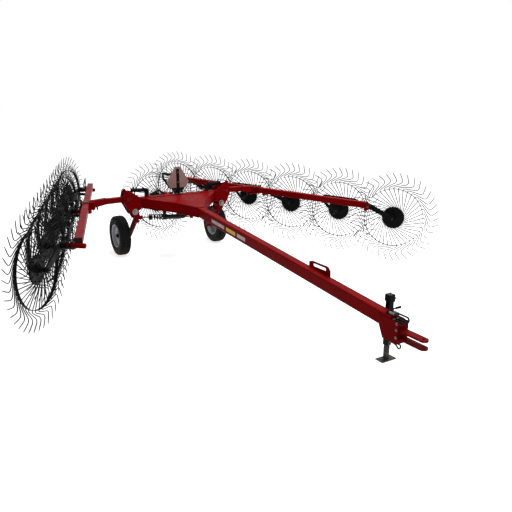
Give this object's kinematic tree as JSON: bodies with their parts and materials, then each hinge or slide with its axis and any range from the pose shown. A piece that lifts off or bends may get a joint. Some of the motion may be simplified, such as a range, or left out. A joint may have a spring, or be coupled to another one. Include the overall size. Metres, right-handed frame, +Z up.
{
  "type": "trailed V-shaped finger-wheel hay rake",
  "caption": "Trailed hay rake: a tongue and cross frame on two tyres, with two hinged gangs of tined finger wheels set in a V and a centre kicker wheel.",
  "frame": {"origin": "on the ground below the middle of the overall box", "axes": "+X forward to the hitch, +Y to the left of the machine, +Z up"},
  "size_m": [8.995, 6.5908, 1.523],
  "materials": {
    "black_paint": "satin black enamel",
    "chrome": "polished rod",
    "red_paint": "gloss enamel",
    "rim_paint": "light grey enamel",
    "rubber": "black hose rubber",
    "sign_face": "orange centre with a red border",
    "steel": "bare or zinc-plated steel",
    "tyre": "matt black tyre"
  },
  "bodies": {
    "frame": {"coupler_holder": "steel", "end_brackets": "red_paint", "hinge_pins": "steel", "hitch_clevis": "red_paint", "hitch_head": "red_paint", "hose_ends": "rubber", "jack_crank": "steel", "jack_tube": "black_paint", "kicker_arm": "red_paint", "leg_struts": "black_paint", "lock_plate": "red_paint", "main_frame": "red_paint", "sign_plate": "sign_face", "sign_post": "black_paint", "tongue": "red_paint", "wheel_leg_left": "red_paint", "wheel_leg_right": "red_paint"},
    "jack_leg": {"jack_leg": "steel"},
    "gang_left": {"arm_springs_left": "black_paint", "boom_left": "red_paint", "gang_beam_left": "red_paint", "wheel_arms_left": "black_paint"},
    "gang_right": {"arm_springs_right": "black_paint", "boom_right": "red_paint", "gang_beam_right": "red_paint", "wheel_arms_right": "black_paint"},
    "kicker_wheel": {"kicker_wheel": "black_paint"},
    "lift_barrel_left": {"lift_barrel_left": "black_paint"},
    "lift_barrel_right": {"lift_barrel_right": "black_paint"},
    "lift_rod_left": {"lift_rod_left": "chrome"},
    "lift_rod_right": {"lift_rod_right": "chrome"},
    "rake_wheel_left_1": {"rake_wheel_left_1": "black_paint"},
    "rake_wheel_left_2": {"rake_wheel_left_2": "black_paint"},
    "rake_wheel_left_3": {"rake_wheel_left_3": "black_paint"},
    "rake_wheel_left_4": {"rake_wheel_left_4": "black_paint"},
    "rake_wheel_left_5": {"rake_wheel_left_5": "black_paint"},
    "rake_wheel_left_6": {"rake_wheel_left_6": "black_paint"},
    "rake_wheel_right_1": {"rake_wheel_right_1": "black_paint"},
    "rake_wheel_right_2": {"rake_wheel_right_2": "black_paint"},
    "rake_wheel_right_3": {"rake_wheel_right_3": "black_paint"},
    "rake_wheel_right_4": {"rake_wheel_right_4": "black_paint"},
    "rake_wheel_right_5": {"rake_wheel_right_5": "black_paint"},
    "rake_wheel_right_6": {"rake_wheel_right_6": "black_paint"},
    "transport_wheel_left": {"rim_left": "rim_paint", "tyre_left": "tyre"},
    "transport_wheel_right": {"rim_right": "rim_paint", "tyre_right": "tyre"}
  },
  "joints": [
    {"name": "boom_lift_left", "type": "hinge", "parent": "frame", "child": "gang_left", "pos_m": [-1.20046, 0.915, 1.045], "axis": [1, 0, 0], "range_deg": [0, 22]},
    {"name": "lift_barrel_swing_left", "type": "hinge", "parent": "frame", "child": "lift_barrel_left", "pos_m": [-1.20046, 0.56, 1.165], "axis": [1, 0, 0], "range_deg": [-0.02, 1.08]},
    {"name": "lift_rod_slide_left", "type": "slide", "parent": "lift_barrel_left", "child": "lift_rod_left", "axis": [0, 0.998, 0.064], "range_m": [-0.05766, 0.00113]},
    {"name": "transport_wheel_spin_left", "type": "hinge", "parent": "frame", "child": "transport_wheel_left", "pos_m": [-1.60046, 0.93, 0.345], "axis": [0, 1, 0], "continuous": true},
    {"name": "rake_wheel_spin_left_1", "type": "hinge", "parent": "gang_left", "child": "rake_wheel_left_1", "pos_m": [-3.91474, 1.19762, 0.755], "axis": [0.6293, -0.7771, 0], "continuous": true},
    {"name": "rake_wheel_spin_left_2", "type": "hinge", "parent": "gang_left", "child": "rake_wheel_left_2", "pos_m": [-2.90263, 1.52257, 0.755], "axis": [0.6293, -0.7771, 0], "continuous": true},
    {"name": "rake_wheel_spin_left_3", "type": "hinge", "parent": "gang_left", "child": "rake_wheel_left_3", "pos_m": [-1.89051, 1.84752, 0.755], "axis": [0.6293, -0.7771, 0], "continuous": true},
    {"name": "rake_wheel_spin_left_4", "type": "hinge", "parent": "gang_left", "child": "rake_wheel_left_4", "pos_m": [-0.8784, 2.17248, 0.755], "axis": [0.6293, -0.7771, 0], "continuous": true},
    {"name": "rake_wheel_spin_left_5", "type": "hinge", "parent": "gang_left", "child": "rake_wheel_left_5", "pos_m": [0.13371, 2.49743, 0.755], "axis": [0.6293, -0.7771, 0], "continuous": true},
    {"name": "rake_wheel_spin_left_6", "type": "hinge", "parent": "gang_left", "child": "rake_wheel_left_6", "pos_m": [1.14583, 2.82239, 0.755], "axis": [0.6293, -0.7771, 0], "continuous": true},
    {"name": "boom_lift_right", "type": "hinge", "parent": "frame", "child": "gang_right", "pos_m": [-1.20046, -0.915, 1.045], "axis": [-1, 0, 0], "range_deg": [0, 22]},
    {"name": "lift_barrel_swing_right", "type": "hinge", "parent": "frame", "child": "lift_barrel_right", "pos_m": [-1.20046, -0.56, 1.165], "axis": [-1, 0, 0], "range_deg": [-0.02, 1.08]},
    {"name": "lift_rod_slide_right", "type": "slide", "parent": "lift_barrel_right", "child": "lift_rod_right", "axis": [0, -0.998, 0.064], "range_m": [-0.05766, 0.00113]},
    {"name": "transport_wheel_spin_right", "type": "hinge", "parent": "frame", "child": "transport_wheel_right", "pos_m": [-1.60046, -0.93, 0.345], "axis": [0, 1, 0], "continuous": true},
    {"name": "rake_wheel_spin_right_1", "type": "hinge", "parent": "gang_right", "child": "rake_wheel_right_1", "pos_m": [-3.91474, -1.19762, 0.755], "axis": [0.6293, 0.7771, 0], "continuous": true},
    {"name": "rake_wheel_spin_right_2", "type": "hinge", "parent": "gang_right", "child": "rake_wheel_right_2", "pos_m": [-2.90263, -1.52257, 0.755], "axis": [0.6293, 0.7771, 0], "continuous": true},
    {"name": "rake_wheel_spin_right_3", "type": "hinge", "parent": "gang_right", "child": "rake_wheel_right_3", "pos_m": [-1.89051, -1.84752, 0.755], "axis": [0.6293, 0.7771, 0], "continuous": true},
    {"name": "rake_wheel_spin_right_4", "type": "hinge", "parent": "gang_right", "child": "rake_wheel_right_4", "pos_m": [-0.8784, -2.17248, 0.755], "axis": [0.6293, 0.7771, 0], "continuous": true},
    {"name": "rake_wheel_spin_right_5", "type": "hinge", "parent": "gang_right", "child": "rake_wheel_right_5", "pos_m": [0.13371, -2.49743, 0.755], "axis": [0.6293, 0.7771, 0], "continuous": true},
    {"name": "rake_wheel_spin_right_6", "type": "hinge", "parent": "gang_right", "child": "rake_wheel_right_6", "pos_m": [1.14583, -2.82239, 0.755], "axis": [0.6293, 0.7771, 0], "continuous": true},
    {"name": "kicker_wheel_spin", "type": "hinge", "parent": "frame", "child": "kicker_wheel", "pos_m": [-2.20046, 0, 0.755], "axis": [0.6293, -0.7771, 0], "continuous": true},
    {"name": "jack_leg_slide", "type": "slide", "parent": "frame", "child": "jack_leg", "axis": [0, 0, 1], "range_m": [-0.06, 0.155]}
  ],
  "couplings": [
    {"joint": "lift_barrel_swing_left", "follows": "boom_lift_left", "ratio": 0.04819},
    {"joint": "lift_rod_slide_left", "follows": "boom_lift_left", "m_per_rad": -0.14722},
    {"joint": "lift_barrel_swing_right", "follows": "boom_lift_right", "ratio": 0.04819},
    {"joint": "lift_rod_slide_right", "follows": "boom_lift_right", "m_per_rad": -0.14722}
  ]
}
